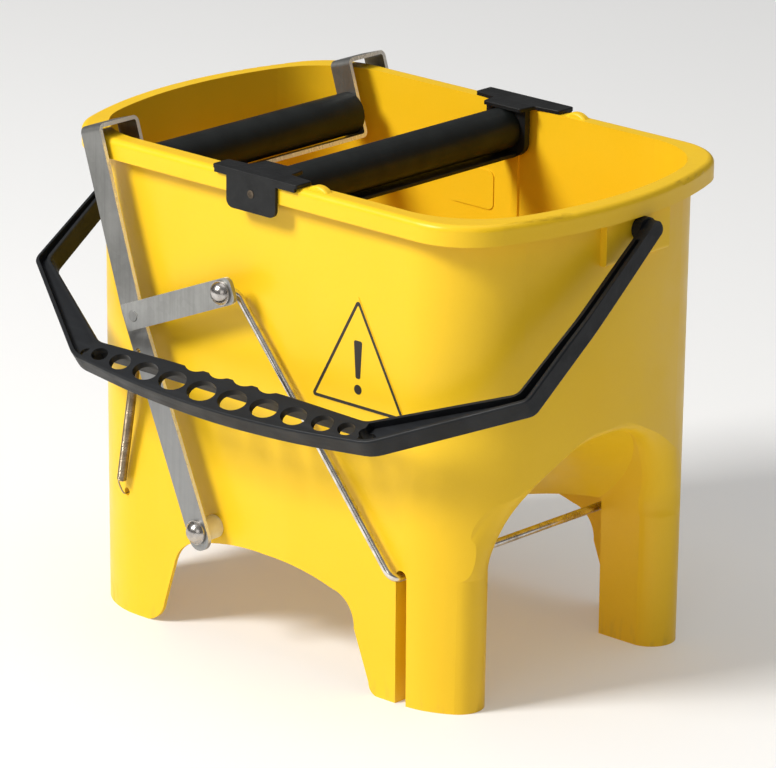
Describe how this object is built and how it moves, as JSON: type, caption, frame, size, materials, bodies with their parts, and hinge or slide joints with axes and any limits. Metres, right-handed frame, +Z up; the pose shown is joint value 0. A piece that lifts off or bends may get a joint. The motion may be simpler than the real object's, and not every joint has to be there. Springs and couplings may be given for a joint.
{
  "type": "mop bucket with roller wringer",
  "caption": "Rounded yellow mop bucket on four legs, with a pedal-driven roller wringer, side levers, return springs and a swinging carrying handle.",
  "frame": {"origin": "on the floor under the centre of the bucket", "axes": "+X to the pedal end, +Y to the far long side, +Z up"},
  "size_m": [0.4858, 0.3561, 0.3759],
  "materials": {
    "bucket_plastic": "glossy injection-moulded",
    "black_plastic": "satin moulded",
    "handle_plastic": "satin moulded",
    "roller_plastic": "satin, fine lengthwise lines",
    "zinc_strip": "dull zinc",
    "bright_steel": "bright zinc",
    "spacer_nylon": "natural nylon",
    "decal_vinyl": "printed film"
  },
  "bodies": {
    "bucket": {"bucket_body": "bucket_plastic", "fixed_bracket_near": "black_plastic", "fixed_bracket_far": "black_plastic", "bracket_screws": "bright_steel", "fixed_cradle_bar": "black_plastic", "fixed_roller_axle": "bright_steel", "pivot_bolt_near": "bright_steel", "pivot_bolt_far": "bright_steel", "pivot_spacer_near": "spacer_nylon", "pivot_spacer_far": "spacer_nylon", "pivot_washer_near": "bright_steel", "pivot_washer_far": "bright_steel", "pivot_nut_near": "bright_steel", "pivot_nut_far": "bright_steel", "pivot_dome_cap_near": "bright_steel", "pivot_dome_cap_far": "bright_steel", "handle_bush_left": "black_plastic", "handle_bush_right": "black_plastic", "caution_decal": "decal_vinyl"},
    "wringer_lever": {"wringer_yoke": "zinc_strip", "link_bar_near": "zinc_strip", "link_bar_far": "zinc_strip", "link_rivets": "zinc_strip", "moving_roller_axle": "bright_steel"},
    "moving_roller": {"moving_roller_sleeve": "roller_plastic", "moving_roller_end_plugs": "black_plastic"},
    "fixed_roller": {"fixed_roller_sleeve": "roller_plastic", "fixed_roller_end_plugs": "black_plastic"},
    "pedal": {"pedal_rod": "bright_steel", "rod_dome_cap_near": "bright_steel", "rod_dome_cap_far": "bright_steel"},
    "spring_near": {"return_spring_near": "bright_steel"},
    "spring_far": {"return_spring_far": "bright_steel"},
    "carrying_handle": {"handle": "handle_plastic", "handle_pin_left": "black_plastic", "handle_pin_right": "black_plastic"}
  },
  "joints": [
    {"name": "wringer_swing", "type": "hinge", "parent": "bucket", "child": "wringer_lever", "pos_m": [-0.052, 0, 0.0896], "axis": [0, 1, 0], "range_deg": [0, 25], "stiffness_Nm_per_rad": 6, "springref_deg": -11.46},
    {"name": "moving_roller_spin", "type": "hinge", "parent": "wringer_lever", "child": "moving_roller", "pos_m": [-0.14823, 0, 0.33449], "axis": [0, 1, 0], "continuous": true},
    {"name": "fixed_roller_spin", "type": "hinge", "parent": "bucket", "child": "fixed_roller", "pos_m": [-0.002, 0, 0.349], "axis": [0, 1, 0], "continuous": true},
    {"name": "pedal_press", "type": "hinge", "parent": "wringer_lever", "child": "pedal", "pos_m": [-0.02475, 0, 0.27697], "axis": [0, 1, 0], "range_deg": [-4.5, 1]},
    {"name": "spring_near_turn", "type": "hinge", "parent": "bucket", "child": "spring_near", "pos_m": [-0.143, 0, 0.094], "axis": [0, 1, 0], "range_deg": [0, 20], "deforming": ["return_spring_near"]},
    {"name": "spring_far_turn", "type": "hinge", "parent": "bucket", "child": "spring_far", "pos_m": [-0.143, 0, 0.094], "axis": [0, 1, 0], "range_deg": [0, 20], "deforming": ["return_spring_far"]},
    {"name": "handle_swing", "type": "hinge", "parent": "bucket", "child": "carrying_handle", "pos_m": [0, 0.015, 0.34], "axis": [-1, 0, 0], "range_deg": [0, 261]}
  ],
  "couplings": [
    {"joint": "pedal_press", "follows": "wringer_swing", "ratio": -0.144},
    {"joint": "spring_near_turn", "follows": "wringer_swing", "ratio": 0.77},
    {"joint": "spring_far_turn", "follows": "wringer_swing", "ratio": 0.77}
  ]
}
